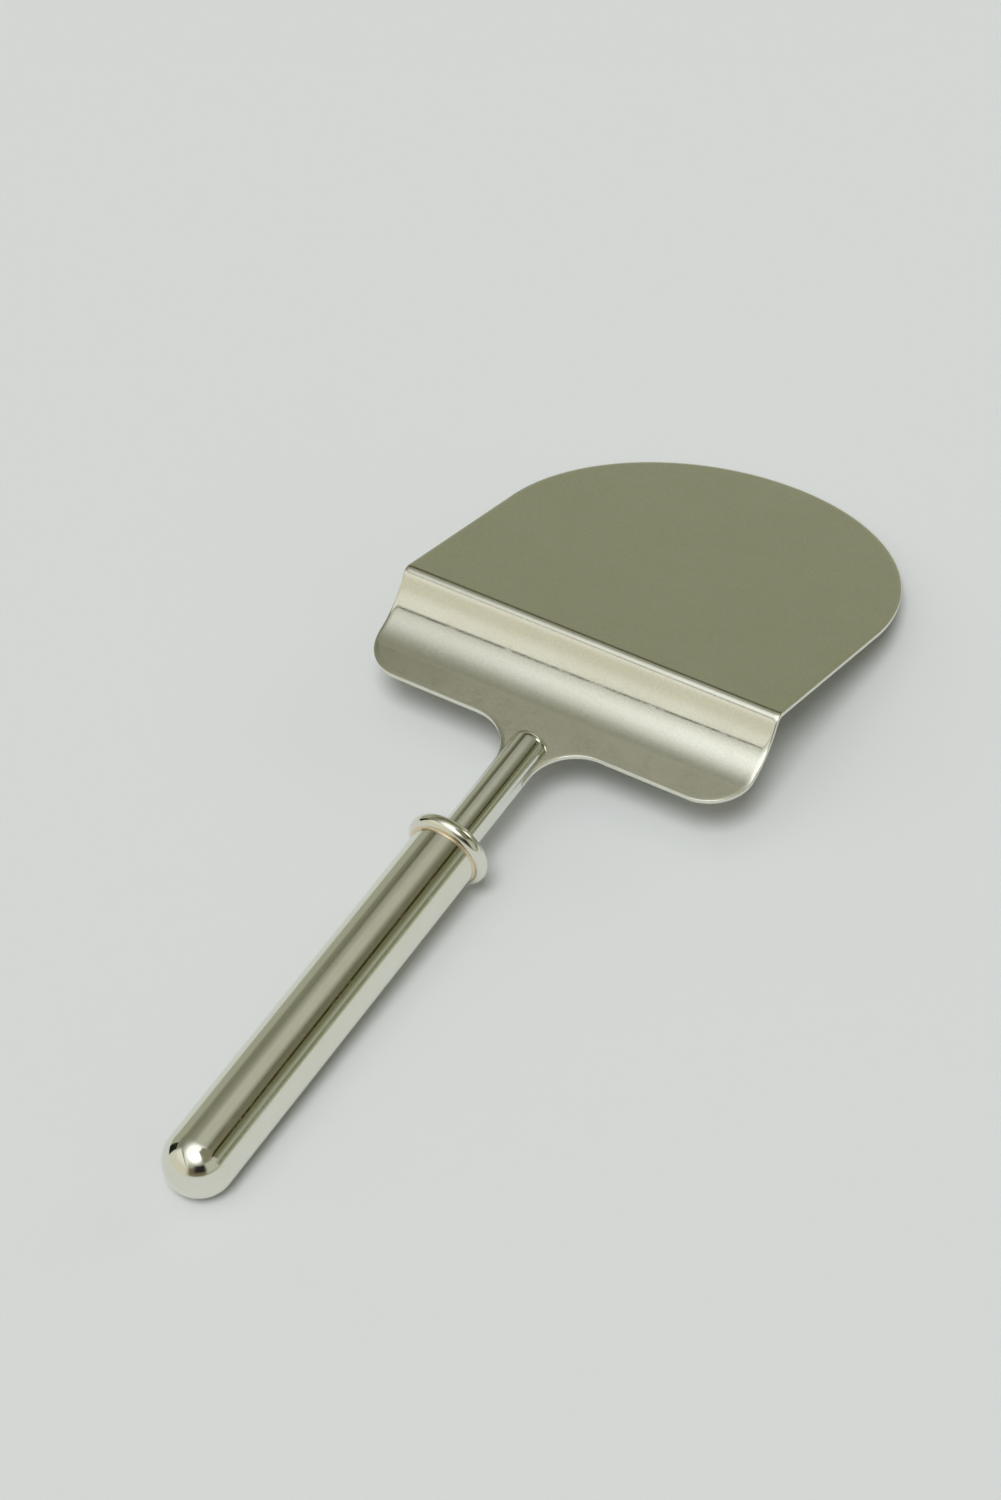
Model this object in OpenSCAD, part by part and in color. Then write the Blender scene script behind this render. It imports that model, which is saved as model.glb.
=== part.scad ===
// A cake server: a bent sheet blade on a slim shank, with a ring and a round hollow handle.
// It lies on a table at z = 0, on the tip of the blade and on the end of the handle, blade towards +Y.
// The handle, the ring, the shank and the rear flange share one axis, which rises towards the blade.
// Along that axis, places are measured from the middle of the end dome. Lengths are in millimetres.

/* [Handle] */
// Outside diameter of the handle
handle_d = 16; // [14:0.5:20]
// Wall of the handle tube
handle_wall = 1; // [0.6:0.1:1.2]
// Length of the handle, from the middle of the end dome to the middle of the ring
handle_len = 94.8; // [70:0.2:120]
// Rise of the handle towards the blade, in degrees
handle_rise = 3.5; // [1:0.25:5]
// Length of the end dome's lip inside the tube
lip_len = 6; // [3:0.5:12]
// Wall of the end dome's lip
lip_wall = 1; // [0.6:0.1:1.6]

/* [Ring and plug] */
// Diameter of the ring's round wire
wire_d = 3.7; // [3:0.1:4]
// How far the middle of the wire lies outside the handle's surface
ring_proud = 0.2; // [0:0.05:0.6]
// Length of the plug inside the handle, behind the middle of the ring
plug_len = 14; // [8:1:24]
// Length of the plug's nose in front of the middle of the ring
nose_len = 1.2; // [0.6:0.1:1.8]
// Chamfer round the plug's nose
nose_chamfer = 0.4; // [0.1:0.1:0.5]
// Width of the seam of braze behind the ring, along the handle
seam_w = 0.5; // [0.3:0.1:1.2]

/* [Shank] */
// Diameter of the shank
shank_d = 9; // [7:0.5:9.5]
// Length of the shank in front of the middle of the ring
shank_out = 35.4; // [26:0.2:50]
// Length of the shank behind the plug
shank_tail = 4; // [0:1:20]
// Radius of the rim at the shank's ends
rim_r = 1.4; // [0.4:0.1:2]
// Depth of the slot that takes the blade's tongue
slot_len = 11.8; // [6:0.2:20]

/* [Blade] */
// Thickness of the sheet
sheet_t = 1.2; // [0.8:0.1:1.6]
// Width of the blade and of the rear flange
blade_w = 100; // [80:1:120]
// Length of the blade's straight sides, from the bend to the start of its round end
side_len = 46.1; // [20:0.1:80]
// Radius of the bend, at the inner face of the sheet
bend_r = 1; // [0.3:0.1:2]
// Length of the straight stretch just below the bend
wall_len = 4.2; // [1:0.1:8]
// Radius of the curved rise, at the middle of the sheet
rise_r = 18; // [10:0.5:24]
// Slope of the rise at its top, in degrees from the flange
rise_slope = 47; // [30:1:60]

/* [Rear flange] */
// Length of the flat stretch of the flange
flange_len = 6.6; // [3:0.2:16]
// Radius of the flange's two outer corners, seen from above
corner_r = 11; // [4:0.5:14]
// Distance of the flange's back edge in front of the shank's end
neck_lead = 1.9; // [1:0.1:6]
// Radius of the two hollow curves that lead from the flange into the neck
neck_r = 11.5; // [5:0.5:12]
// How far the neck stands out of the slot on each side
neck_proud = 0.3; // [0.1:0.1:1]
// Width of the braze along the shank
bead_w = 0.3; // [0.2:0.1:1]
// Height of the braze along the shank
bead_h = 0.3; // [0.2:0.1:0.8]

/* [Hidden] */
// Steps round a full circle in a preview
$fn = 96;
// Colours of the satin sheet, the polished metal and the braze
satin = [0.62, 0.61, 0.53];
polished = [0.84, 0.83, 0.78];
warm = [0.83, 0.68, 0.5];
// Gap that braze fills between two pieces
joint_gap = 0.05;
// How far a cutting shape runs past what it cuts
over = 1;
// How far an arc reaches past the straight side that it runs into, so that the two cross
cross = 0.01;

handle_r = handle_d / 2;
wire_r = wire_d / 2;
ring_r = handle_r + ring_proud;
ring_inner_r = ring_r - wire_r;
tube_inner_r = handle_r - handle_wall;
lip_r = tube_inner_r - joint_gap;
dome_inner_r = lip_r - lip_wall;
plug_r = tube_inner_r - joint_gap;
nose_r = ring_inner_r - joint_gap;
shank_r = shank_d / 2;
plug_bore_r = shank_r + joint_gap;
half_w = blade_w / 2;
half_t = sheet_t / 2;

// Places along the axis
shank_end = handle_len + shank_out;
shank_start = handle_len - plug_len - shank_tail;
slot_start = shank_end - slot_len;
flange_back = shank_end + neck_lead;
rise_start = flange_back + flange_len;
neck_half_w = shank_r + neck_proud;
seam_back = handle_len - sqrt(wire_r * wire_r - ring_proud * ring_proud) - seam_w;

// Places in the section along the middle of the sheet, as [along the axis, above the axis]
bend_mid_r = bend_r + half_t;
rise_top = [rise_start + rise_r * sin(rise_slope), rise_r * (1 - cos(rise_slope))];
wall_top = rise_top + wall_len * [cos(rise_slope), sin(rise_slope)];
bend_at = wall_top + bend_mid_r * [sin(rise_slope), -cos(rise_slope)];

// The blade falls from the bend just so steeply that its tip lies on the table when the end dome does
end_r = half_w + cross;
end_mid = side_len - sqrt(end_r * end_r - half_w * half_w);
blade_len = end_mid + end_r;
bend_z = handle_r + bend_at[0] * sin(handle_rise) + bend_at[1] * cos(handle_rise);
blade_fall = asin(bend_z / norm([blade_len, bend_r])) + atan2(bend_r, blade_len);
bend_sweep = handle_rise + blade_fall;
tip_y = bend_at[0] * cos(handle_rise) - bend_at[1] * sin(handle_rise)
    + (bend_mid_r + half_t) * sin(blade_fall) + blade_len * cos(blade_fall);
// The end dome's middle, so that the whole server is centred on the origin
dome_y = (handle_r - tip_y) / 2;

// Puts its children on the server's axis, with +Y along the axis and +Z square to the flange
module on_axis() translate([0, dome_y, handle_r]) rotate([handle_rise, 0, 0]) children();

// Puts its children on the fallen blade, with +Y from the bend to the tip and +Z square to its face
module on_blade() on_axis() translate([0, bend_at[0], bend_at[1]]) rotate([-bend_sweep, 0, 0]) children();

// Turns an outline of [radius, place along the axis] round the axis
module turned() on_axis() rotate([-90, 0, 0]) rotate_extrude() children();

// The section of the ring's wire, grown by a gap
module wire_section(gap) translate([ring_r, handle_len]) circle(r = wire_r + gap);

// What a rounded corner leaves over: a slice between two directions, outside a disc of radius r
module corner_waste(r, low, high) {
    reach = 2 * r;
    difference() {
        polygon([[0, 0], for (a = [low, (low + high) / 2, high]) reach * [cos(a), sin(a)]]);
        circle(r = r + cross);
    }
}

// What lies under a face of the sheet in section, as [along the axis, above the axis]. The face lies above
// the middle of the sheet by lift, and spare widens the region behind, below and in front
module under_face(lift, spare) {
    back = slot_start - spare;
    bottom = -blade_len - spare;
    rise_at = [rise_start, rise_r];
    face_bend_r = bend_mid_r + lift;
    half_sweep = (rise_slope + bend_sweep) / 2;
    crest_angle = 90 + rise_slope - half_sweep;
    crest = bend_at + face_bend_r / cos(half_sweep) * [cos(crest_angle), sin(crest_angle)];
    tip = bend_at + face_bend_r * [sin(bend_sweep), cos(bend_sweep)]
        + (blade_len + over + spare) * [cos(bend_sweep), -sin(bend_sweep)];
    difference() {
        polygon([
            [back, bottom],
            [back, lift],
            [rise_start, lift],
            rise_at,
            rise_at + (rise_r - lift) * [sin(rise_slope), -cos(rise_slope)],
            crest,
            tip,
            [tip[0], bottom],
        ]);
        translate(rise_at) circle(r = rise_r - lift + cross);
        translate(bend_at) corner_waste(face_bend_r, crest_angle - half_sweep, crest_angle + half_sweep);
    }
}

// The section of the whole sheet
module sheet_section() difference() {
    under_face(half_t, 0);
    under_face(-half_t, over);
}

// The outline of the flange and the neck seen square to the flange, as [across, along the axis].
// In front of the corners it runs past the sheet's sides, because the strip ends there by itself
module flange_outline() {
    corner_mid = [half_w - corner_r + cross, flange_back + corner_r];
    neck_mid = [neck_half_w + neck_r, flange_back - neck_r];
    length = bend_at[0] + bend_mid_r + sheet_t - corner_mid[1];
    translate([-corner_mid[0], flange_back]) square([2 * corner_mid[0], 2 * corner_r]);
    translate([-half_w - over, corner_mid[1]]) square([blade_w + 2 * over, length]);
    for (side = [-1, 1])
        translate([side * corner_mid[0], corner_mid[1]]) circle(r = corner_r);
    difference() {
        translate([-neck_mid[0], neck_mid[1]]) square([2 * neck_mid[0], neck_r + over]);
        for (side = [-1, 1])
            translate([side * neck_mid[0], neck_mid[1]]) circle(r = neck_r);
    }
    translate([-neck_half_w, slot_start]) square([2 * neck_half_w, flange_back - slot_start]);
}

// The outline of the blade seen square to its face, as [across, from the bend to the tip].
// Up to the middle of the round end it runs past the sheet's sides, because the strip ends there by itself
module blade_outline() {
    translate([-half_w - over, 0]) square([blade_w + 2 * over, end_mid]);
    translate([0, end_mid]) circle(r = end_r);
}

// The outline of the shank where it leaves the sheet, grown all round
module shank_footprint(grow) {
    half = sqrt(shank_r * shank_r - half_t * half_t) + grow;
    rim = rim_r + grow;
    end = shank_end + grow;
    translate([-half, slot_start]) square([2 * half, end - rim - slot_start]);
    translate([rim - half, slot_start]) square([2 * (half - rim), end - slot_start]);
    for (side = [-1, 1])
        translate([side * (half - rim), end - rim]) circle(r = rim);
}

// One sheet: the flange with its neck, the rise, the bend and the round-ended blade
module blade() color(satin) intersection() {
    on_axis() rotate([90, 0, 90]) linear_extrude(blade_w, center = true) sheet_section();
    union() {
        on_axis() translate([0, 0, -half_t - over])
            linear_extrude(bend_at[1] + bend_mid_r + sheet_t + 2 * over) flange_outline();
        on_blade() translate([0, 0, bend_r - over]) linear_extrude(sheet_t + 2 * over) blade_outline();
    }
}

// Braze along the edges of the shank, on the sheet's upper and lower face
module blade_braze() color(warm) on_axis()
    for (face = [half_t, -half_t - bead_h])
        translate([0, 0, face]) linear_extrude(bead_h) intersection() {
            difference() {
                shank_footprint(bead_w);
                shank_footprint(0);
            }
            flange_outline();
        }

// A rod with rounded rims, slotted at its front end for the blade's tongue
module shank() color(polished) difference() {
    turned() {
        translate([0, shank_start]) square([shank_r - rim_r, shank_end - shank_start]);
        translate([0, shank_start + rim_r]) square([shank_r, shank_end - shank_start - 2 * rim_r]);
        intersection() {
            union() {
                translate([shank_r - rim_r, shank_start + rim_r]) circle(r = rim_r);
                translate([shank_r - rim_r, shank_end - rim_r]) circle(r = rim_r);
            }
            translate([0, shank_start]) square([shank_r, shank_end - shank_start]);
        }
    }
    on_axis() translate([-shank_r - over, slot_start - joint_gap, -half_t - joint_gap])
        cube([2 * (shank_r + over), slot_len + joint_gap + over, sheet_t + 2 * joint_gap]);
}

// A bush in the handle's mouth, hollowed round its waist for the ring, with a chamfered nose
module mouth_plug() color(polished) turned() difference() {
    union() {
        translate([plug_bore_r, handle_len - plug_len]) square([plug_r - plug_bore_r, plug_len]);
        polygon([
            [plug_bore_r, handle_len],
            [nose_r, handle_len],
            [nose_r, handle_len + nose_len - nose_chamfer],
            [nose_r - nose_chamfer, handle_len + nose_len],
            [plug_bore_r, handle_len + nose_len],
        ]);
    }
    wire_section(joint_gap);
}

// A ring of round wire on the handle's mouth
module collar_ring() color(polished) turned() wire_section(0);

// A seam of braze in the corner between the handle and the ring, sloping from one up to the other
module collar_braze() color(warm) turned() difference() {
    polygon([
        [handle_r, seam_back],
        [handle_r, handle_len],
        [ring_r + wire_r / 2, handle_len - wire_r / 2],
    ]);
    wire_section(0);
}

// A tube, hollowed at its mouth for the ring
module handle_tube() color(polished) turned() difference() {
    translate([tube_inner_r, 0]) square([handle_wall, handle_len]);
    wire_section(joint_gap);
}

// A hollow half ball on the handle's end, with a lip inside the tube
module end_dome() color(polished) turned() {
    intersection() {
        difference() {
            circle(r = handle_r);
            circle(r = dome_inner_r);
        }
        translate([0, -handle_r]) square([handle_r, handle_r]);
    }
    translate([dome_inner_r, 0]) square([lip_wall, lip_len]);
}

blade();
blade_braze();
shank();
mouth_plug();
collar_ring();
collar_braze();
handle_tube();
end_dome();
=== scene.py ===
"""A silver-plated cake server on a plain pale floor, with detailed pieces and finishes."""
import math

import bpy
from mathutils import Matrix, Vector
from mathutils.geometry import delaunay_2d_cdt


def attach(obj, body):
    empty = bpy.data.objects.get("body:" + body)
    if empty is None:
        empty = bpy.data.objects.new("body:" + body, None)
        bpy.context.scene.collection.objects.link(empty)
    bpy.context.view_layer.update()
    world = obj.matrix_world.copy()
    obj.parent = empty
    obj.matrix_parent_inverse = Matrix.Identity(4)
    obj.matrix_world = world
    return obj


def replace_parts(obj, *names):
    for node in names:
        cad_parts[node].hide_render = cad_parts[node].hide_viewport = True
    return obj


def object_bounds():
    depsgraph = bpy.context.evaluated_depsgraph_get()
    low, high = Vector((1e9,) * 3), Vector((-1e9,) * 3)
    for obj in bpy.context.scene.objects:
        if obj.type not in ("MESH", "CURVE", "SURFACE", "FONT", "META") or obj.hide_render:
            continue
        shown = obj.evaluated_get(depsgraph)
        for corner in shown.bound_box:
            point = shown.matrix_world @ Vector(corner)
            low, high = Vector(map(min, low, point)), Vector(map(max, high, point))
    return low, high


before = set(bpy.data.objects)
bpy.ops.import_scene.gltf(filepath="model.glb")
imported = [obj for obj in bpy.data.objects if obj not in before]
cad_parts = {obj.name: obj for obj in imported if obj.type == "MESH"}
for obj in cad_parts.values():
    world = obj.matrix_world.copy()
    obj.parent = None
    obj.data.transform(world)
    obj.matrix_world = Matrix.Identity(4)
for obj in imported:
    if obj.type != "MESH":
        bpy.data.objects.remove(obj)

cad_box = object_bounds()
MM = 0.001
BODY = "root"

# The turned pieces' sizes, in millimetres, with places along the axis measured from the end dome's middle
HANDLE_R = 8
HANDLE_WALL = 1
HANDLE_LEN = 94.8
HANDLE_RISE = math.radians(3.5)
LIP_LEN = 6
LIP_R = 6.95
LIP_WALL = 1
WIRE_R = 1.85
RING_R = 8.2
PLUG_R = 6.95
PLUG_BORE_R = 4.55
PLUG_LEN = 14
NOSE_R = 6.3
NOSE_LEN = 1.2
NOSE_ROUND = 0.4
SEAM_LEN = 0.5
SEAM_TOP = -72
SHANK_R = 4.5
SHANK_START = 76.8
SHANK_END = 130.2
RIM_LEN = 2.1
RIM_DEPTH = 1.3
SLOT_START = 118.4
JOINT_GAP = 0.05
TURN_STEPS = 160

# The sheet's sizes, in millimetres
SHEET_T = 1.2
HALF_W = 50
NECK_HALF_W = 4.8
NECK_R = 11.5
FLANGE_BACK = 132.1
CORNER_R = 11
RISE_START = 138.7
BEND_START = 156
BLADE_START = 160.08
BLADE_SLOPE = -19.471
PAST_TIP = 260
SIDE_END = 205.62
END_R = 50.01
BEAD_R = 0.17
BEAD_SIDES = 16
# The sheet's slope along its middle, as (place, degrees). The places go on from those along the axis, and the
# sheet bends evenly between them
SLOPES = [
    (RISE_START, 0), (151.6, 41.06), (153.3, 45.4), (155, 50.1), (156.2, 50.4), (156.88, 47.9),
    (157.38, 42.4), (157.78, 37), (158.18, 25), (158.58, 13), (158.98, -0.5), (159.38, -12.5),
    (159.78, -18.6), (BLADE_START, BLADE_SLOPE), (PAST_TIP, BLADE_SLOPE),
]
# The sheet's buffed edge, from the upper face to the middle of its side, as (inwards, lean in degrees)
EDGE = [(1.3, 0), (0.9, 2), (0.6, 5), (0.4, 8), (0.2, 12), (0.12, 20), (0.06, 35), (0.025, 55), (0, 90)]
EDGE_INSET = EDGE[0][0]
END_MID = SIDE_END - math.sqrt(END_R ** 2 - HALF_W ** 2)
TIP = END_MID + END_R
# Steps between the points of the sheet's outline, in millimetres, and in degrees where it is round
NECK_STEP = 0.5
NECK_TURN = 4
BACK_STEP = 1.5
CORNER_TURN = 3
SIDE_STEP = 2
END_TURN = 1.25
RISE_STEP = 0.3
BEND_STEP = 0.08
# The net of points over the sheet's faces: its rows and columns, how far it stays off the edge, and the least
# half width of a row
NET_ROW = 1.5
NET_COLUMN = 3
NET_SPARE = 0.35
NET_LEAST = 1
# What rounding may add to a count of steps, or to a distance in millimetres
ROUNDING = 1e-6

# The dome's end has the lowest Y of the whole server
DOME_Y = cad_box[0].y / MM + HANDLE_R


def on_axis(across, along, above):
    """A place given along the server's axis, in millimetres, as a place in the frame, in metres."""
    y = DOME_Y + along * math.cos(HANDLE_RISE) - above * math.sin(HANDLE_RISE)
    z = HANDLE_R + along * math.sin(HANDLE_RISE) + above * math.cos(HANDLE_RISE)
    return Vector((across, y, z)) * MM


def axis_direction(across, along, above):
    """A direction given along the server's axis, as a direction in the frame."""
    y = along * math.cos(HANDLE_RISE) - above * math.sin(HANDLE_RISE)
    z = along * math.sin(HANDLE_RISE) + above * math.cos(HANDLE_RISE)
    return Vector((across, y, z))


# Nodes

def add(tree, kind, inputs=None, **settings):
    """Adds a node with its settings, its values and its links."""
    made = tree.nodes.new(kind)
    for name, value in settings.items():
        setattr(made, name, value)
    for key, value in (inputs or {}).items():
        if isinstance(value, bpy.types.NodeSocket):
            tree.links.new(value, made.inputs[key])
        else:
            made.inputs[key].default_value = value
    return made


def maths(tree, operation, first, second=0.0, third=0.0, clamp=False):
    """The result of one Math node."""
    made = add(tree, "ShaderNodeMath", {0: first, 1: second, 2: third}, operation=operation, use_clamp=clamp)
    return made.outputs[0]


def vector_maths(tree, operation, first, second):
    """The vector that one Vector Math node makes."""
    return add(tree, "ShaderNodeVectorMath", {0: first, 1: second}, operation=operation).outputs["Vector"]


def new_tree(name, kind, inputs, outputs):
    """An empty node group with named inputs, as (name, kind, value), and named outputs."""
    tree = bpy.data.node_groups.new(name, kind)
    for socket, socket_kind, value in inputs:
        made = tree.interface.new_socket(name=socket, in_out="INPUT", socket_type=socket_kind)
        if value is not None:
            made.default_value = value
    for socket, socket_kind in outputs:
        tree.interface.new_socket(name=socket, in_out="OUTPUT", socket_type=socket_kind)
    return tree, tree.nodes.new("NodeGroupInput").outputs, tree.nodes.new("NodeGroupOutput").inputs


FLOAT = "NodeSocketFloat"
INTEGER = "NodeSocketInt"
VECTOR = "NodeSocketVector"
GEOMETRY = "NodeSocketGeometry"
MATERIAL = "NodeSocketMaterial"


# Geometry

# Points nearer to each other than this, in metres, are one
SAME_PLACE = 1e-6
CREASE = math.radians(30)


def finish_tree(tree, shape, material, out):
    """Ends a geometry tree: smooth faces, real geometry and its material."""
    smooth = add(tree, "GeometryNodeSetShadeSmooth", {"Geometry": shape})
    real = add(tree, "GeometryNodeRealizeInstances", {"Geometry": smooth.outputs["Geometry"]})
    coated = add(tree, "GeometryNodeSetMaterial", {
        "Geometry": real.outputs["Geometry"], "Material": material})
    tree.links.new(coated.outputs["Geometry"], out)


def turning_tree():
    """Turns the points of an outline, as (radius, place along the axis), round the server's axis."""
    tree, given, out = new_tree(
        "turned_on_axis", "GeometryNodeTree",
        [("Outline", GEOMETRY, None), ("Steps", INTEGER, 64), ("Axis start", VECTOR, None),
         ("Axis turn", VECTOR, None), ("Material", MATERIAL, None)],
        [("Piece", GEOMETRY)],
    )
    size = add(tree, "GeometryNodeAttributeDomainSize", {"Geometry": given["Outline"]})
    count = size.outputs["Point Count"]
    columns = maths(tree, "ADD", given["Steps"], 1.0)
    grid = add(tree, "GeometryNodeMeshGrid", {"Vertices X": columns, "Vertices Y": count})
    index = add(tree, "GeometryNodeInputIndex").outputs["Index"]
    column = maths(tree, "FLOOR", maths(tree, "DIVIDE", index, count))
    row = maths(tree, "SUBTRACT", index, maths(tree, "MULTIPLY", column, count))
    place = add(tree, "GeometryNodeInputPosition").outputs["Position"]
    point = add(tree, "GeometryNodeSampleIndex", None, data_type="FLOAT_VECTOR", domain="POINT")
    tree.links.new(given["Outline"], point.inputs["Geometry"])
    tree.links.new(place, point.inputs["Value"])
    tree.links.new(row, point.inputs["Index"])
    radius, along, _ = add(tree, "ShaderNodeSeparateXYZ", {0: point.outputs["Value"]}).outputs
    turn = maths(tree, "MULTIPLY", maths(tree, "DIVIDE", column, given["Steps"]), 2 * math.pi)
    turned_place = add(tree, "ShaderNodeCombineXYZ", {
        "X": maths(tree, "MULTIPLY", radius, maths(tree, "COSINE", turn)),
        "Y": along,
        "Z": maths(tree, "MULTIPLY", radius, maths(tree, "SINE", turn)),
    })
    shaped = add(tree, "GeometryNodeSetPosition", {
        "Geometry": grid.outputs["Mesh"], "Position": turned_place.outputs["Vector"]})
    closed = add(tree, "GeometryNodeMergeByDistance", {
        "Geometry": shaped.outputs["Geometry"], "Distance": SAME_PLACE})
    outwards = add(tree, "GeometryNodeFlipFaces", {"Mesh": closed.outputs["Geometry"]}).outputs["Mesh"]
    placed = add(tree, "GeometryNodeTransform", {
        "Geometry": outwards, "Translation": given["Axis start"], "Rotation": given["Axis turn"]})
    finish_tree(tree, placed.outputs["Geometry"], given["Material"], out["Piece"])
    return tree


def bead_tree():
    """Lays a round bead along every run of edges."""
    tree, given, out = new_tree(
        "bead_along", "GeometryNodeTree",
        [("Path", GEOMETRY, None), ("Radius", FLOAT, 0.001), ("Sides", INTEGER, 16),
         ("Material", MATERIAL, None)],
        [("Piece", GEOMETRY)],
    )
    path = add(tree, "GeometryNodeMeshToCurve", {"Mesh": given["Path"]})
    section = add(tree, "GeometryNodeCurvePrimitiveCircle", {
        "Resolution": given["Sides"], "Radius": given["Radius"]})
    bead = add(tree, "GeometryNodeCurveToMesh", {
        "Curve": path.outputs["Curve"], "Profile Curve": section.outputs["Curve"], "Fill Caps": True})
    finish_tree(tree, bead.outputs["Mesh"], given["Material"], out["Piece"])
    return tree


TURNING = turning_tree()
BEADING = bead_tree()


def finished(piece):
    """Takes the modifiers' result as the piece's own mesh, and sets it on its body."""
    depsgraph = bpy.context.evaluated_depsgraph_get()
    mesh = bpy.data.meshes.new_from_object(piece.evaluated_get(depsgraph), depsgraph=depsgraph)
    piece.modifiers.clear()
    piece.data = mesh
    mesh.name = piece.name
    # The tree puts its material behind an empty one, so it is set again as the only one
    material = mesh.materials[-1]
    mesh.materials.clear()
    mesh.materials.append(material)
    mesh.set_sharp_from_angle(angle=CREASE)
    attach(piece, BODY)
    return piece


def with_tree(name, tree, points, edges, values):
    """An object of points and edges, with a geometry tree on it."""
    mesh = bpy.data.meshes.new(name + "_start")
    mesh.from_pydata(points, edges, [])
    piece = bpy.data.objects.new(name, mesh)
    bpy.context.scene.collection.objects.link(piece)
    modifier = piece.modifiers.new(tree.name, "NODES")
    modifier.node_group = tree
    for socket in tree.interface.items_tree:
        if socket.in_out == "INPUT" and socket.name in values:
            modifier[socket.identifier] = values[socket.name]
    return piece


def turned(name, outline, material):
    """A piece turned from an outline that has the metal on its left."""
    points = [Vector((radius, along, 0)) * MM for radius, along in outline]
    return with_tree(name, TURNING, points, [], {
        "Steps": TURN_STEPS, "Axis start": on_axis(0, 0, 0), "Axis turn": (HANDLE_RISE, 0, 0),
        "Material": material})


def line(start, end, steps=1):
    """Points of a straight stretch of an outline, without its last one."""
    run = Vector(end) - Vector(start)
    return [tuple(Vector(start) + run * k / steps) for k in range(steps)]


def arc(middle, radius, first, last, steps, length=None):
    """Points of a round stretch of an outline between two directions in degrees; a length draws it out."""
    reach = radius if length is None else length
    points = []
    for k in range(steps + 1):
        angle = math.radians(first + (last - first) * k / steps)
        points.append((middle[0] + radius * math.cos(angle), middle[1] + reach * math.sin(angle)))
    return points


# Shader groups

def fade(tree, value, low, high, to_low=0.0, to_high=1.0):
    """A smooth step from one value to another."""
    inputs = {"Value": value, "From Min": low, "From Max": high, "To Min": to_low, "To Max": to_high}
    return add(tree, "ShaderNodeMapRange", inputs, interpolation_type="SMOOTHSTEP").outputs["Result"]


def mixed(tree, share, first, second):
    """A colour between two others."""
    made = add(tree, "ShaderNodeMix", None, data_type="RGBA")
    for name, value in (("Factor", share), ("A", first), ("B", second)):
        socket = [s for s in made.inputs if s.name == name and s.enabled][0]
        if isinstance(value, bpy.types.NodeSocket):
            tree.links.new(value, socket)
        else:
            socket.default_value = value
    return [s for s in made.outputs if s.enabled][0]


# The scratches' directions and the patches that thin them out, as (turn in radians, scale)
SCRATCH_RUNS = [((0.3, 0.2, 0.5), 160.0), ((1.1, 0.6, 2.2), 200.0), ((0.2, 1.3, 3.6), 240.0)]


def scratches_group():
    """Fine polishing scratches: thin lines in several directions, thinned out by patches."""
    tree, given, out = new_tree(
        "fine_scratches", "ShaderNodeTree",
        [("Vector", VECTOR, None), ("Scale", FLOAT, 900.0), ("Length", FLOAT, 30.0), ("Width", FLOAT, 0.021)],
        [("Mask", FLOAT)],
    )
    total = 0.0
    for angles, patch_scale in SCRATCH_RUNS:
        turned_by = add(tree, "ShaderNodeMapping", {"Vector": given["Vector"], "Rotation": angles})
        stretched = add(tree, "ShaderNodeCombineXYZ", {
            "X": maths(tree, "DIVIDE", given["Scale"], given["Length"]),
            "Y": given["Scale"],
            "Z": given["Scale"],
        })
        placed = vector_maths(tree, "MULTIPLY", turned_by.outputs["Vector"], stretched.outputs["Vector"])
        noise = add(tree, "ShaderNodeTexNoise", {
            "Vector": placed, "Scale": 1.0, "Detail": 2.0, "Roughness": 0.6})
        # A line lies wherever the noise crosses its middle value
        away = maths(tree, "ABSOLUTE", maths(tree, "SUBTRACT", noise.outputs["Fac"], 0.5))
        lines = fade(tree, away, given["Width"], 0.0)
        patches = add(tree, "ShaderNodeTexNoise", {
            "Vector": turned_by.outputs["Vector"], "Scale": patch_scale, "Detail": 1.0})
        kept = maths(tree, "MULTIPLY", lines, fade(tree, patches.outputs["Fac"], low=0.48, high=0.7))
        total = maths(tree, "MAXIMUM", total, kept)
    tree.links.new(total, out["Mask"])
    return tree


def haze_group():
    """Cloudy patches of haze, as handling and washing leave them."""
    tree, given, out = new_tree(
        "haze", "ShaderNodeTree",
        [("Vector", VECTOR, None), ("Scale", FLOAT, 60.0), ("Contrast", FLOAT, 0.5)], [("Mask", FLOAT)])
    broad = add(tree, "ShaderNodeTexNoise", {
        "Vector": given["Vector"], "Scale": given["Scale"], "Detail": 5.0, "Roughness": 0.6,
        "Distortion": 0.6})
    low = maths(tree, "MULTIPLY", given["Contrast"], 0.5)
    high = maths(tree, "SUBTRACT", 1.0, low)
    tree.links.new(fade(tree, broad.outputs["Fac"], low, high), out["Mask"])
    return tree


def grain_group():
    """A fine grain of polished and matt points, too small to see one by one."""
    tree, given, out = new_tree(
        "fine_grain", "ShaderNodeTree",
        [("Vector", VECTOR, None), ("Scale", FLOAT, 30000.0), ("Share", FLOAT, 0.5)], [("Mask", FLOAT)])
    scaled = add(tree, "ShaderNodeVectorMath", {0: given["Vector"], 3: given["Scale"]}, operation="SCALE")
    cell = add(tree, "ShaderNodeVectorMath", {0: scaled.outputs["Vector"]}, operation="FLOOR")
    noise = add(tree, "ShaderNodeTexWhiteNoise", {"Vector": cell.outputs["Vector"]})
    tree.links.new(maths(tree, "LESS_THAN", noise.outputs["Value"], given["Share"]), out["Mask"])
    return tree


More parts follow.
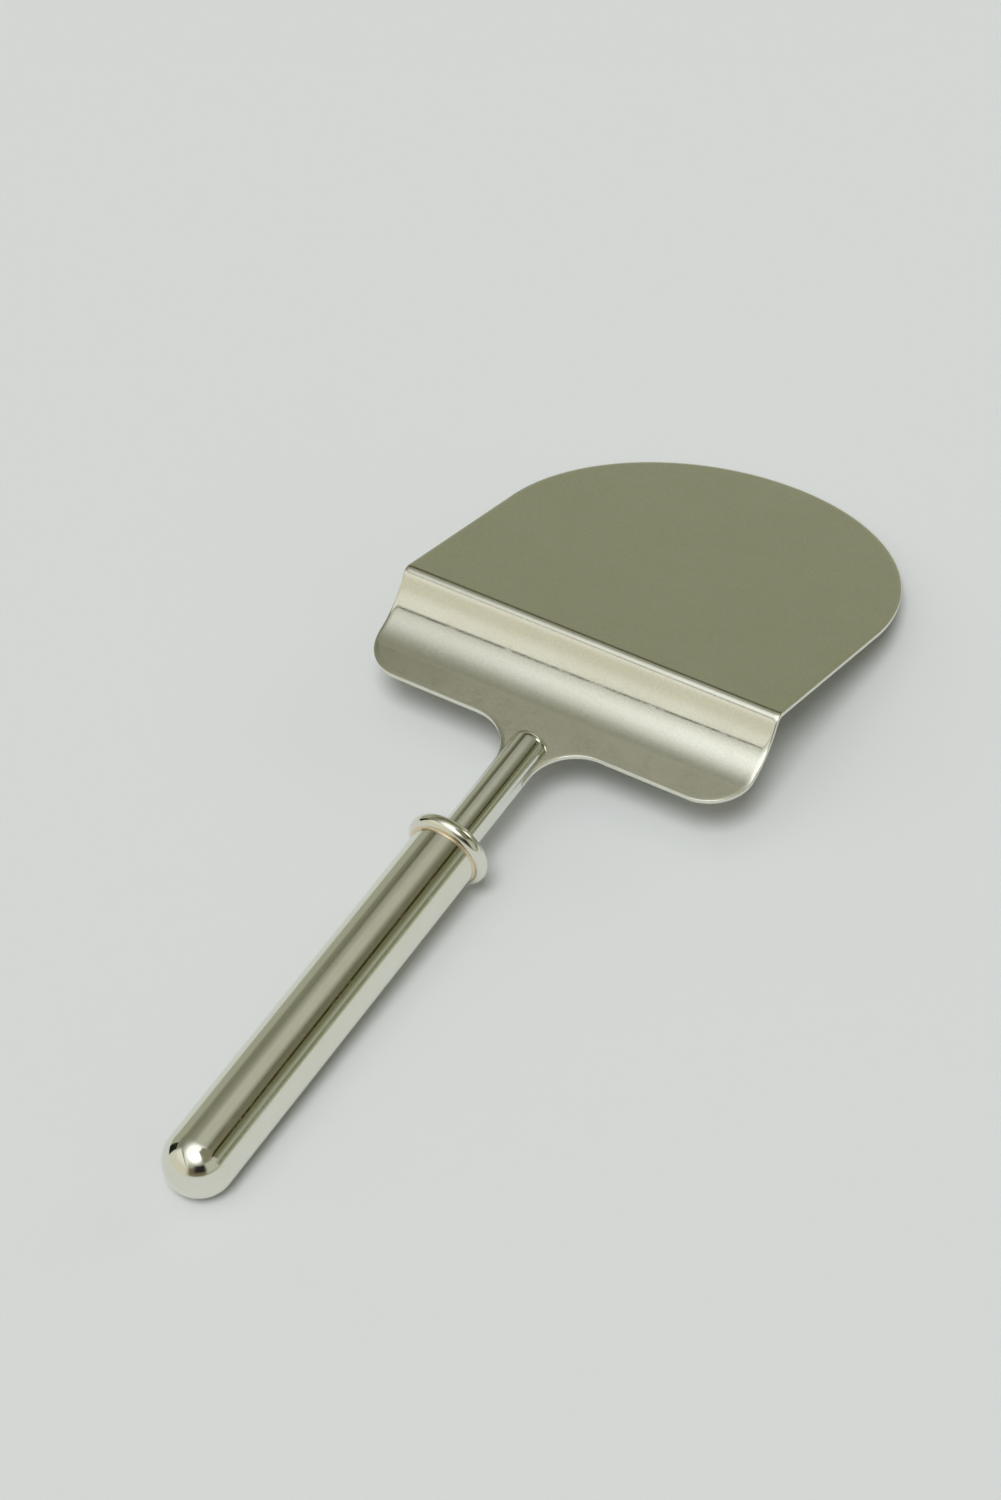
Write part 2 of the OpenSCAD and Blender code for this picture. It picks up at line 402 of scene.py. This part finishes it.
def mottle_group():
    """Fine uneven colour, like that of worn plate seen close up."""
    tree, given, out = new_tree(
        "fine_mottle", "ShaderNodeTree",
        [("Vector", VECTOR, None), ("Scale", FLOAT, 2400.0), ("Strength", FLOAT, 0.05)], [("Level", FLOAT)])
    fine = add(tree, "ShaderNodeTexNoise", {
        "Vector": given["Vector"], "Scale": given["Scale"], "Detail": 3.0, "Roughness": 0.7})
    uneven = fade(tree, fine.outputs["Fac"], low=0.3, high=0.7)
    darker = maths(tree, "MULTIPLY", uneven, given["Strength"])
    tree.links.new(maths(tree, "SUBTRACT", 1.0, darker), out["Level"])
    return tree


SCRATCHES = scratches_group()
HAZE = haze_group()
GRAIN = grain_group()
MOTTLE = mottle_group()
# How much tarnish the haze holds, and how rough, strong and deep, in metres, the scratches are
TARNISH_SHARE = 0.5
SCRATCH_ROUGH = 0.12
SCRATCH_BUMP = 0.15
SCRATCH_DEPTH = 0.00002


def silver(name, tint, tarnish, smooth, matt, matt_share, mottle_strength, scratch_scale, haze_scale,
           haze_rough):
    """Silver plate: a mirror with a little haze, fine scratches and a breath of tarnish."""
    material = bpy.data.materials.new(name)
    material.use_nodes = True
    tree = material.node_tree
    shader = tree.nodes["Principled BSDF"]
    shader.inputs["Metallic"].default_value = 1.0
    place = add(tree, "ShaderNodeTexCoord").outputs["Object"]
    scratch = add(tree, "ShaderNodeGroup", {"Vector": place, "Scale": scratch_scale}, node_tree=SCRATCHES)
    haze = add(tree, "ShaderNodeGroup", {"Vector": place, "Scale": haze_scale}, node_tree=HAZE)
    grain = add(tree, "ShaderNodeGroup", {"Vector": place, "Share": matt_share}, node_tree=GRAIN)
    mottle = add(tree, "ShaderNodeGroup", {"Vector": place, "Strength": mottle_strength}, node_tree=MOTTLE)
    tarnished = maths(tree, "MULTIPLY", haze.outputs["Mask"], TARNISH_SHARE)
    colour = mixed(tree, tarnished, (*tint, 1), (*tarnish, 1))
    colour = vector_maths(tree, "MULTIPLY", colour, mottle.outputs["Level"])
    tree.links.new(colour, shader.inputs["Base Color"])
    rough = fade(tree, grain.outputs["Mask"], 0.0, 1.0, smooth, matt)
    rough = maths(tree, "MULTIPLY_ADD", haze.outputs["Mask"], haze_rough, rough)
    rough = maths(tree, "MULTIPLY_ADD", scratch.outputs["Mask"], SCRATCH_ROUGH, rough, clamp=True)
    tree.links.new(rough, shader.inputs["Roughness"])
    height = maths(tree, "SUBTRACT", 1.0, scratch.outputs["Mask"])
    bump = add(tree, "ShaderNodeBump", {
        "Strength": SCRATCH_BUMP, "Distance": SCRATCH_DEPTH, "Height": height})
    tree.links.new(bump.outputs["Normal"], shader.inputs["Normal"])
    return material


POLISHED = silver(
    "polished_silver", tint=(0.84, 0.84, 0.76), tarnish=(0.80, 0.78, 0.66), smooth=0.04, matt=0.25,
    matt_share=0.04, mottle_strength=0.03, scratch_scale=1400.0, haze_scale=70.0, haze_rough=0.02)
SHANK_SILVER = silver(
    "shank_silver", tint=(0.83, 0.84, 0.78), tarnish=(0.79, 0.78, 0.68), smooth=0.04, matt=0.25,
    matt_share=0.04, mottle_strength=0.03, scratch_scale=1400.0, haze_scale=90.0, haze_rough=0.02)
SHEET = silver(
    "satin_silver", tint=(0.85, 0.85, 0.755), tarnish=(0.79, 0.78, 0.67), smooth=0.05, matt=0.28,
    matt_share=0.2, mottle_strength=0.09, scratch_scale=1100.0, haze_scale=45.0, haze_rough=0.03)
RING_BRAZE = silver(
    "braze", tint=(0.86, 0.74, 0.55), tarnish=(0.80, 0.66, 0.46), smooth=0.12, matt=0.4,
    matt_share=0.3, mottle_strength=0.1, scratch_scale=1500.0, haze_scale=300.0, haze_rough=0.08)
PLATED_BRAZE = silver(
    "plated_braze", tint=(0.86, 0.84, 0.74), tarnish=(0.80, 0.76, 0.60), smooth=0.1, matt=0.3,
    matt_share=0.2, mottle_strength=0.1, scratch_scale=1500.0, haze_scale=300.0, haze_rough=0.05)


# Turned pieces

def degrees_where(middle_r, hollow_r, radius):
    """The direction, in degrees, in which a hollow round the wire reaches a radius."""
    return math.degrees(math.acos((radius - middle_r) / hollow_r))


def handle():
    """The round hollow handle with its half-round end, one smooth skin."""
    inside = HANDLE_R - HANDLE_WALL
    dome_r = LIP_R - LIP_WALL
    groove_r = WIRE_R + JOINT_GAP
    outer = degrees_where(RING_R, groove_r, HANDLE_R)
    inner = degrees_where(RING_R, groove_r, inside)
    groove = arc((RING_R, HANDLE_LEN), groove_r, -outer, -inner, steps=6)
    outline = arc((0, 0), HANDLE_R, -90, 0, steps=48)
    outline += line((HANDLE_R, 0), groove[0], steps=24)[1:]
    outline += groove
    outline += line(groove[-1], (inside, LIP_LEN), steps=12)[1:]
    outline += [(inside, LIP_LEN), (dome_r, LIP_LEN)]
    outline += arc((0, 0), dome_r, 0, -90, steps=24)
    piece = finished(turned("handle_shell", outline, POLISHED))
    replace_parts(piece, "handle_tube", "end_dome")


def ring():
    """The ring of round wire on the handle's mouth."""
    outline = arc((RING_R, HANDLE_LEN), WIRE_R, -180, 180, steps=64)
    piece = finished(turned("collar_wire", outline, POLISHED))
    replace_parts(piece, "collar_ring")


def plug():
    """The bush in the handle's mouth, with a rounded nose in front of the ring."""
    back = HANDLE_LEN - PLUG_LEN
    tip = HANDLE_LEN + NOSE_LEN
    hollow_r = WIRE_R + JOINT_GAP
    waist = degrees_where(RING_R, hollow_r, PLUG_R)
    hollow = arc((RING_R, HANDLE_LEN), hollow_r, -waist, -180, steps=12)
    outline = [(PLUG_BORE_R, tip), (PLUG_BORE_R, back), (PLUG_R, back)]
    outline += hollow
    outline += [(NOSE_R, HANDLE_LEN)]
    outline += arc((NOSE_R - NOSE_ROUND, tip - NOSE_ROUND), NOSE_ROUND, 0, 90, steps=8)
    outline += [(PLUG_BORE_R, tip)]
    piece = finished(turned("mouth_bush", outline, POLISHED))
    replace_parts(piece, "mouth_plug")


def collar_seam():
    """The hollow seam of braze in the corner between the handle and the ring."""
    middle = Vector((RING_R, HANDLE_LEN))
    buried = HANDLE_R - 2 * JOINT_GAP
    touch = degrees_where(RING_R, WIRE_R, HANDLE_R)
    start = HANDLE_LEN - WIRE_R * math.sin(math.radians(touch)) - SEAM_LEN
    top = Vector(arc(middle, WIRE_R, SEAM_TOP, SEAM_TOP, steps=1)[0])
    foot = Vector((HANDLE_R, start))
    pull = Vector((HANDLE_R, top.y))
    steps = 10
    outline = [(buried, start)]
    for share in (k / steps for k in range(steps + 1)):
        outline.append(tuple((1 - share) ** 2 * foot + 2 * share * (1 - share) * pull + share ** 2 * top))
    outline += arc(middle, WIRE_R, SEAM_TOP, -degrees_where(RING_R, WIRE_R, buried), steps=6)[1:]
    outline += [(buried, start)]
    piece = finished(turned("collar_seam", outline, RING_BRAZE))
    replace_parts(piece, "collar_braze")


def rod_radius(along):
    """Radius of the shank at a place near its rounded front end."""
    into = max(0, along - (SHANK_END - RIM_LEN)) / RIM_LEN
    return SHANK_R - RIM_DEPTH * (1 - math.sqrt(max(0, 1 - into ** 2)))


def shank():
    """The polished rod with rounded ends, and with its slot cut for the blade's tongue."""
    rim = SHANK_R - RIM_DEPTH
    outline = [(0, SHANK_START)]
    outline += arc((rim, SHANK_START + RIM_LEN), RIM_DEPTH, -90, 0, steps=12, length=RIM_LEN)
    outline += line((SHANK_R, SHANK_START + RIM_LEN), (SHANK_R, SHANK_END - RIM_LEN), steps=12)[1:]
    outline += arc((rim, SHANK_END - RIM_LEN), RIM_DEPTH, 0, 90, steps=16, length=RIM_LEN)
    outline += [(0, SHANK_END)]
    rod = turned("shank_rod", outline, SHANK_SILVER)

    half_gap = SHEET_T / 2 + JOINT_GAP
    corners = [
        on_axis(across, run, above)
        for across in (-HALF_W, HALF_W)
        for run in (SLOT_START - JOINT_GAP, TIP)
        for above in (-half_gap, half_gap)
    ]
    # The sides of that box, facing outwards
    sides = [(0, 1, 3, 2), (4, 6, 7, 5), (0, 4, 5, 1), (2, 3, 7, 6), (0, 2, 6, 4), (1, 5, 7, 3)]
    saw_mesh = bpy.data.meshes.new("slot_saw")
    saw_mesh.from_pydata(corners, [], sides)
    saw = bpy.data.objects.new("slot_saw", saw_mesh)
    bpy.context.scene.collection.objects.link(saw)
    cut = rod.modifiers.new("slot", "BOOLEAN")
    cut.operation = "DIFFERENCE"
    cut.solver = "EXACT"
    cut.object = saw
    piece = finished(rod)
    bpy.data.objects.remove(saw)
    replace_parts(piece, "shank")


def blade_seam():
    """The thin bead of plated braze where the shank's sides and its end meet both faces of the sheet."""
    lift = SHEET_T / 2
    steps = 12
    runs = [SLOT_START + BEAD_R, SHANK_END - RIM_LEN]
    runs += [SHANK_END - RIM_LEN * (1 - math.sin(math.pi / 2 * k / steps)) for k in range(1, steps + 1)]
    side = [(math.sqrt(rod_radius(run) ** 2 - lift ** 2), run) for run in runs]
    route = side + [(-across, run) for across, run in reversed(side)]
    points, edges = [], []
    for above in (lift, -lift):
        first = len(points)
        points += [on_axis(across, run, above) for across, run in route]
        edges += [(first + k, first + k + 1) for k in range(len(route) - 1)]
    piece = with_tree("neck_seam", BEADING, points, edges, {
        "Radius": BEAD_R * MM, "Sides": BEAD_SIDES, "Material": PLATED_BRAZE})
    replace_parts(finished(piece), "blade_braze")


# The sheet

def steps_between(low, high, step):
    """Places at about a step apart, without the last one."""
    count = max(1, math.ceil((high - low) / step - ROUNDING))
    return [low + (high - low) * k / count for k in range(count)]


def section(run):
    """Middle of the sheet and its slope, a distance along the sheet, in the plane along the axis."""
    at = Vector((min(run, RISE_START), 0))
    slope = 0.0
    for (start, first), (end, last) in zip(SLOPES, SLOPES[1:]):
        if run <= start:
            break
        length = min(run, end) - start
        turn = math.radians(last - first) * length / (end - start)
        chord = 2 * length / turn * math.sin(turn / 2) if turn else length
        at += chord * Vector((math.cos(slope + turn / 2), math.sin(slope + turn / 2)))
        slope += turn
    return at, slope


def half_width(run):
    """Half the sheet's width, a distance along the sheet."""
    if run < FLANGE_BACK - NECK_R:
        return NECK_HALF_W
    if run < FLANGE_BACK:
        return NECK_HALF_W + NECK_R - math.sqrt(NECK_R ** 2 - (run - FLANGE_BACK + NECK_R) ** 2)
    if run < FLANGE_BACK + CORNER_R:
        return HALF_W - CORNER_R + math.sqrt(CORNER_R ** 2 - (FLANGE_BACK + CORNER_R - run) ** 2)
    if run < SIDE_END:
        return HALF_W
    return math.sqrt(max(0, END_R ** 2 - (run - END_MID) ** 2))


def sheet_rows(first, last, step):
    """Places of rows across the sheet, closer together where it bends."""
    stretches = [
        (SLOT_START, RISE_START, step), (RISE_START, BEND_START, RISE_STEP),
        (BEND_START, BLADE_START, BEND_STEP), (BLADE_START, TIP, step),
    ]
    rows = []
    for low, high, length in stretches:
        if max(low, first) < min(high, last):
            rows += steps_between(max(low, first), min(high, last), length)
    return rows


def sheet_outline():
    """The flat sheet's outline, from tongue to tip and back, as (across, along, outward direction)."""
    corner_x, corner_y = HALF_W - CORNER_R, FLANGE_BACK + CORNER_R
    neck_x, neck_y = NECK_HALF_W + NECK_R, FLANGE_BACK - NECK_R
    end_angle = math.acos(HALF_W / END_R)
    right = [(NECK_HALF_W, run, 1, 0) for run in steps_between(SLOT_START, neck_y, NECK_STEP)]
    for angle in steps_between(0, math.pi / 2, math.radians(NECK_TURN)):
        x, y = -math.cos(angle), math.sin(angle)
        right.append((neck_x + NECK_R * x, neck_y + NECK_R * y, -x, -y))
    right += [(x, FLANGE_BACK, 0, -1) for x in steps_between(neck_x, corner_x, BACK_STEP)]
    for angle in steps_between(-math.pi / 2, 0, math.radians(CORNER_TURN)):
        x, y = math.cos(angle), math.sin(angle)
        right.append((corner_x + CORNER_R * x, corner_y + CORNER_R * y, x, y))
    right += [(HALF_W, run, 1, 0) for run in sheet_rows(corner_y, SIDE_END, SIDE_STEP)]
    for angle in steps_between(end_angle, math.pi / 2, math.radians(END_TURN)):
        x, y = math.cos(angle), math.sin(angle)
        right.append((END_R * x, END_MID + END_R * y, x, y))
    left = [(-x, y, -out_x, out_y) for x, y, out_x, out_y in reversed(right)]
    back = [(x, SLOT_START, 0, -1) for x in (-NECK_HALF_W / 2, 0, NECK_HALF_W / 2)]
    return right + [(0, TIP, 0, 1)] + left + back


def sheet_edge():
    """The sheet's edge from its upper face round to its lower one, as (inwards, above, lean)."""
    above = SHEET_T / 2
    edge = [(EDGE_INSET, above, 0)]
    for (before, first), (inwards, lean) in zip(EDGE, EDGE[1:]):
        above -= (before - inwards) * math.tan(math.radians(first + lean) / 2)
        edge.append((inwards, above, lean))
    return edge + [(inwards, -above, 180 - lean) for inwards, above, lean in reversed(edge)]


def sheet_point(across, run, above, out_x=0, out_run=0, lean=0):
    """A point at a distance above the middle of the bent sheet, and its normal."""
    at, slope = section(run)
    face = Vector((-math.sin(slope), math.cos(slope)))
    along = Vector((math.cos(slope), math.sin(slope)))
    turn = math.radians(lean)
    flat = math.cos(turn) * face + math.sin(turn) * out_run * along
    normal = axis_direction(math.sin(turn) * out_x, *flat).normalized()
    return on_axis(across, *(at + above * face)), normal


def net_rows():
    """Rows of points over the flat sheet inside its edge, as (across, along)."""
    rows = []
    for run in sheet_rows(SLOT_START, TIP, NET_ROW)[1:]:
        narrowest = min(half_width(run + step) for step in (-EDGE_INSET, 0, EDGE_INSET))
        reach = narrowest - EDGE_INSET - NET_SPARE
        if reach >= NET_LEAST and run - EDGE_INSET >= SLOT_START + NET_SPARE:
            columns = max(2, math.ceil(reach / NET_COLUMN))
            rows.append([(reach * column / columns, run) for column in range(-columns, columns + 1)])
    return rows


def sheet_fill(outline):
    """The points of the flat sheet's border and net, and the triangles that fill it.

    The rows of the net lie square to the axis and stay whole, so that the bends are smooth.
    """
    places = [(x - EDGE_INSET * out_x, run - EDGE_INSET * out_run) for x, run, out_x, out_run in outline]
    border = list(range(len(places)))
    links = []
    for row in net_rows():
        links += [(k, k + 1) for k in range(len(places), len(places) + len(row) - 1)]
        places += row
    made = delaunay_2d_cdt([Vector(place) for place in places], links, [border], 1, ROUNDING)
    return places, [[made[3][corner][0] for corner in triangle] for triangle in made[2]]


def blade():
    """One sheet: tongue, neck, flange, rise, bend and round-ended blade, with buffed edges."""
    outline = sheet_outline()
    points = [
        sheet_point(x - inwards * out_x, run - inwards * out_run, above, out_x, out_run, lean)
        for inwards, above, lean in sheet_edge()
        for x, run, out_x, out_run in outline
    ]
    count = len(outline)
    last_border = len(points) - count
    faces = []
    for first in range(0, last_border, count):
        for k in range(count):
            after = (k + 1) % count
            faces.append([first + k, first + count + k, first + count + after, first + after])

    places, triangles = sheet_fill(outline)
    for border, above, lean in ((0, SHEET_T / 2, 0), (last_border, -SHEET_T / 2, 180)):
        net = len(points) - count
        points += [sheet_point(across, run, above, lean=lean) for across, run in places[count:]]
        for triangle in triangles:
            corners = [k + (border if k < count else net) for k in triangle]
            faces.append(corners if lean == 0 else corners[::-1])

    mesh = bpy.data.meshes.new("blade_sheet")
    mesh.from_pydata([place for place, normal in points], [], faces)
    mesh.shade_smooth()
    mesh.normals_split_custom_set([points[corner][1] for face in faces for corner in face])
    mesh.materials.append(SHEET)
    piece = bpy.data.objects.new("blade_sheet", mesh)
    bpy.context.scene.collection.objects.link(piece)
    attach(piece, BODY)
    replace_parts(piece, "blade")


# The floor, the room and the camera

# Half the floor's side, in metres, and its colour and surface
FLOOR_REACH = 60
FLOOR_COLOUR = (0.605, 0.625, 0.635)
FLOOR_ROUGH = 0.9
FLOOR_SPECULAR = 0.2


def floor():
    """A plain pale floor, far larger than the view."""
    ends = [(-1, -1), (1, -1), (1, 1), (-1, 1)]
    corners = [(x * FLOOR_REACH, y * FLOOR_REACH, 0) for x, y in ends]
    mesh = bpy.data.meshes.new("floor")
    mesh.from_pydata(corners, [], [(0, 1, 2, 3)])
    material = bpy.data.materials.new("pale_floor")
    material.use_nodes = True
    shader = material.node_tree.nodes["Principled BSDF"]
    shader.inputs["Base Color"].default_value = (*FLOOR_COLOUR, 1)
    shader.inputs["Roughness"].default_value = FLOOR_ROUGH
    shader.inputs["Specular IOR Level"].default_value = FLOOR_SPECULAR
    mesh.materials.append(material)
    plane = bpy.data.objects.new("floor", mesh)
    bpy.context.scene.collection.objects.link(plane)


# The backdrop beyond the floor, as pale as the floor looks
BACKDROP = (0.66, 0.69, 0.66)
# Light of the open room from the horizon to the zenith, by the sine of the elevation
ROOM_STOPS = [
    (0.0, (0.56, 0.57, 0.48)),
    (0.08, (0.34, 0.35, 0.27)),
    (0.24, (0.275, 0.285, 0.195)),
    (0.42, (0.26, 0.265, 0.19)),
    (0.62, (0.215, 0.215, 0.155)),
    (0.70, (0.22, 0.22, 0.16)),
    (0.78, (0.26, 0.26, 0.20)),
    (0.90, (0.28, 0.28, 0.23)),
    (1.0, (0.38, 0.37, 0.32)),
]
# Where the bright sky stands in the window, in degrees, and its daylight: its strength, and how wide it looks
SKY_HEADING = 152
SKY_ELEVATION = 62
SKY_ENERGY = 1.87
SKY_WIDTH = 21.2
# The broad soft window and the bright sky in it: the heading and elevation of each in degrees, its colour,
# its light, and how that light falls, as (degrees from its middle, share of the light)
GLOWS = [
    ("window", 170, 70.5, (0.98, 1.0, 1.04), 1.13, [
        (0, 0.72), (12, 0.72), (16, 0.78), (19, 0.86), (22, 0.84), (26, 0.64), (30, 0.42), (34, 0.27),
        (38, 0.13), (44, 0.04), (50, 0.0)]),
    ("sky", SKY_HEADING, SKY_ELEVATION, (1.0, 1.0, 1.0), 0.7, [
        (0, 1.0), (9, 0.95), (15, 0.6), (20, 0.2), (26, 0.0)]),
]
# Soft shapes in the room, each over the ones before it: the heading of its middle from +Y towards +X, half
# its width and the fade of its sides, then the same for its elevation, all in degrees, and its light
ROOM_SHAPES = [
    ("left_wall", -78, 18, 20, 17, 8, 8, (0.38, 0.39, 0.31)),
    ("front_shade", -28, 18, 12, 39, 6, 7, (0.09, 0.08, 0.04)),
    ("front_panel", -30, 10, 12, 55, 4, 4, (0.36, 0.36, 0.30)),
    ("top_panel", -4, 24, 22, 69, 4, 9, (0.48, 0.48, 0.40)),
    ("right_upper_shade", 58, 10, 14, 50, 7, 7, (0.16, 0.155, 0.10)),
    ("right_wall", 98, 20, 12, 22, 13, 5, (0.50, 0.51, 0.43)),
    ("right_wall_top", 92, 25, 15, 57, 16, 8, (0.23, 0.22, 0.15)),
    ("right_shade", 58, 14, 8, 33, 4, 6, (0.16, 0.16, 0.09)),
    ("right_dark_edge", 58, 18, 8, 39, 1.6, 3, (0.03, 0.027, 0.005)),
    ("right_light_edge", 66, 18, 6, 18, 1.5, 2.5, (0.36, 0.38, 0.31)),
    ("front_lamp", 30, 7, 5, 29, 7, 5, (1.7, 1.7, 1.6)),
    ("right_low_shade", 60, 18, 8, 10.5, 2.5, 3, (0.21, 0.22, 0.14)),
    ("back_wall", -146, 26, 16, 18, 25, 3, (0.845, 0.83, 0.75)),
    ("back_wall_low", -148, 40, 12, 4, 16, 15, (0.68, 0.66, 0.545)),
    ("brown_screen", 150, 20, 14, 15, 8, 9, (0.16, 0.13, 0.08)),
    ("dark_screen", 140, 12, 12, 24, 7, 7, (0.02, 0.02, 0.02)),
    ("dark_card", -99, 8, 3, 12, 15, 4, (0.01, 0.015, 0.01)),
]
# The window's dark sill, which is straight: the heading and elevation of its highest place in degrees, then
# one more soft shape, with its elevation measured from the straight line through that place
SILL_HEADING = -113
SILL_ELEVATION = 49.6
SILL = ("window_sill", -152, 20, 6, 0, 0.7, 0.5, (0.1, 0.1, 0.08))
# The measures of a soft shape, in the order above
SHAPE_MEASURES = ["Middle", "Half width", "Side fade", "Height", "Half height", "Edge fade"]


def light_ramp(tree, name, value, stops):
    """Light that follows a value through a row of stops, as (value, colour)."""
    ramp = add(tree, "ShaderNodeValToRGB", {"Fac": value}, label=name)
    made = ramp.color_ramp.elements
    made[0].position, made[1].position = stops[0][0], stops[-1][0]
    made[0].color, made[1].color = (*stops[0][1], 1), (*stops[-1][1], 1)
    for place, colour in stops[1:-1]:
        made.new(place).color = (*colour, 1)
    return ramp.outputs["Color"]


def room_shape_group():
    """How much one soft shape covers of the room in a direction."""
    tree, given, out = new_tree(
        "room_shape", "ShaderNodeTree",
        [(name, FLOAT, 0.0) for name in ["Heading", "Elevation"] + SHAPE_MEASURES], [("Mask", FLOAT)])
    aside = maths(tree, "SUBTRACT", given["Heading"], given["Middle"])
    aside = maths(tree, "ABSOLUTE", maths(tree, "WRAP", aside, 180.0, -180.0))
    side = maths(tree, "ADD", given["Half width"], given["Side fade"])
    sides = fade(tree, aside, side, given["Half width"])
    off = maths(tree, "ABSOLUTE", maths(tree, "SUBTRACT", given["Elevation"], given["Height"]))
    edge = maths(tree, "ADD", given["Half height"], given["Edge fade"])
    edges = fade(tree, off, edge, given["Half height"])
    tree.links.new(maths(tree, "MULTIPLY", sides, edges), out["Mask"])
    return tree


def pointing(heading, elevation):
    """The direction that has a heading and an elevation, given in degrees."""
    turn, rise = math.radians(heading), math.radians(elevation)
    return math.sin(turn) * math.cos(rise), math.cos(turn) * math.cos(rise), math.sin(rise)


def nearness(tree, direction, heading, elevation):
    """How far a direction points towards a place in the room, from 1 to -1."""
    place = pointing(heading, elevation)
    made = add(tree, "ShaderNodeVectorMath", {0: direction, 1: place}, operation="DOT_PRODUCT")
    return made.outputs["Value"]


def with_glow(tree, colour, direction, glow):
    """The room's light with one soft glow added to it."""
    name, heading, elevation, tint, level, fall = glow
    near = nearness(tree, direction, heading, elevation)
    away = maths(tree, "DEGREES", maths(tree, "ARCCOSINE", near))
    reach = fall[-1][0]
    stops = [(degrees / reach, (share, share, share)) for degrees, share in fall]
    shares = light_ramp(tree, name, maths(tree, "DIVIDE", away, reach), stops)
    strength = tuple(level * channel for channel in tint)
    return vector_maths(tree, "ADD", colour, vector_maths(tree, "MULTIPLY", shares, strength))


def with_shape(tree, colour, heading, elevation, shape_tree, shape):
    """The room's light with one soft shape set before it."""
    name, *measures, light = shape
    values = {"Heading": heading, "Elevation": elevation, **dict(zip(SHAPE_MEASURES, measures))}
    made = add(tree, "ShaderNodeGroup", values, node_tree=shape_tree, label=name)
    return mixed(tree, made.outputs["Mask"], colour, (*light, 1))


def room():
    """Plain soft studio light: pale walls, a broad soft window behind the camera, and dark screens."""
    world = bpy.data.worlds.new("room")
    bpy.context.scene.world = world
    world.use_nodes = True
    tree = world.node_tree
    direction = add(tree, "ShaderNodeTexCoord").outputs["Generated"]
    x, y, z = add(tree, "ShaderNodeSeparateXYZ", {0: direction}).outputs
    heading = maths(tree, "DEGREES", maths(tree, "ARCTAN2", x, y))
    elevation = maths(tree, "DEGREES", maths(tree, "ARCSINE", z))
    above_sill = nearness(tree, direction, SILL_HEADING, SILL_ELEVATION + 90)
    above_sill = maths(tree, "DEGREES", maths(tree, "ARCSINE", above_sill))

    colour = light_ramp(tree, "open_room", z, ROOM_STOPS)
    for glow in GLOWS:
        colour = with_glow(tree, colour, direction, glow)
    shape_tree = room_shape_group()
    for shape in ROOM_SHAPES:
        colour = with_shape(tree, colour, heading, elevation, shape_tree, shape)
    colour = with_shape(tree, colour, heading, above_sill, shape_tree, SILL)

    seen = add(tree, "ShaderNodeLightPath").outputs["Is Camera Ray"]
    background = tree.nodes["Background"]
    tree.links.new(mixed(tree, seen, colour, (*BACKDROP, 1)), background.inputs["Color"])
    background.inputs["Strength"].default_value = 1.0


def sky_lamp():
    """The bright sky's daylight. Metal mirrors the room's window instead, so it doesn't see this lamp."""
    data = bpy.data.lights.new("sky_lamp", "SUN")
    data.energy = SKY_ENERGY
    data.angle = math.radians(SKY_WIDTH)
    lamp = bpy.data.objects.new("sky_lamp", data)
    back = Vector(pointing(SKY_HEADING, SKY_ELEVATION))
    lamp.matrix_world = back.to_track_quat("Z", "Y").to_matrix().to_4x4()
    lamp.visible_glossy = False
    bpy.context.scene.collection.objects.link(lamp)


# The photograph's viewpoint: the camera's place in metres, its turn round the server, its height and its roll
# in degrees, and its lens and sensor in millimetres
CAMERA_PLACE = (0.349294, -0.472251, 0.623194)
CAMERA_TURN = 36.619
CAMERA_HEIGHT = 45.621
CAMERA_ROLL = -5.264
CAMERA_LENS = 90.579
CAMERA_SENSOR = 36


def camera():
    """The photograph's viewpoint."""
    azimuth = math.radians(CAMERA_TURN)
    roll = math.radians(CAMERA_ROLL)
    back = Vector(pointing(180 - CAMERA_TURN, CAMERA_HEIGHT))
    level = Vector((math.cos(azimuth), math.sin(azimuth), 0))
    upright = back.cross(level)
    right = math.cos(roll) * level + math.sin(roll) * upright
    up = -math.sin(roll) * level + math.cos(roll) * upright
    data = bpy.data.cameras.new("camera")
    data.sensor_width = CAMERA_SENSOR
    data.lens = CAMERA_LENS
    made = bpy.data.objects.new("camera", data)
    turn = Matrix((right, up, back)).transposed().to_4x4()
    made.matrix_world = Matrix.Translation(CAMERA_PLACE) @ turn
    bpy.context.scene.collection.objects.link(made)
    bpy.context.scene.camera = made


handle()
ring()
plug()
collar_seam()
shank()
blade()
blade_seam()
floor()
room()
sky_lamp()
camera()
bpy.context.scene.view_settings.view_transform = "Standard"
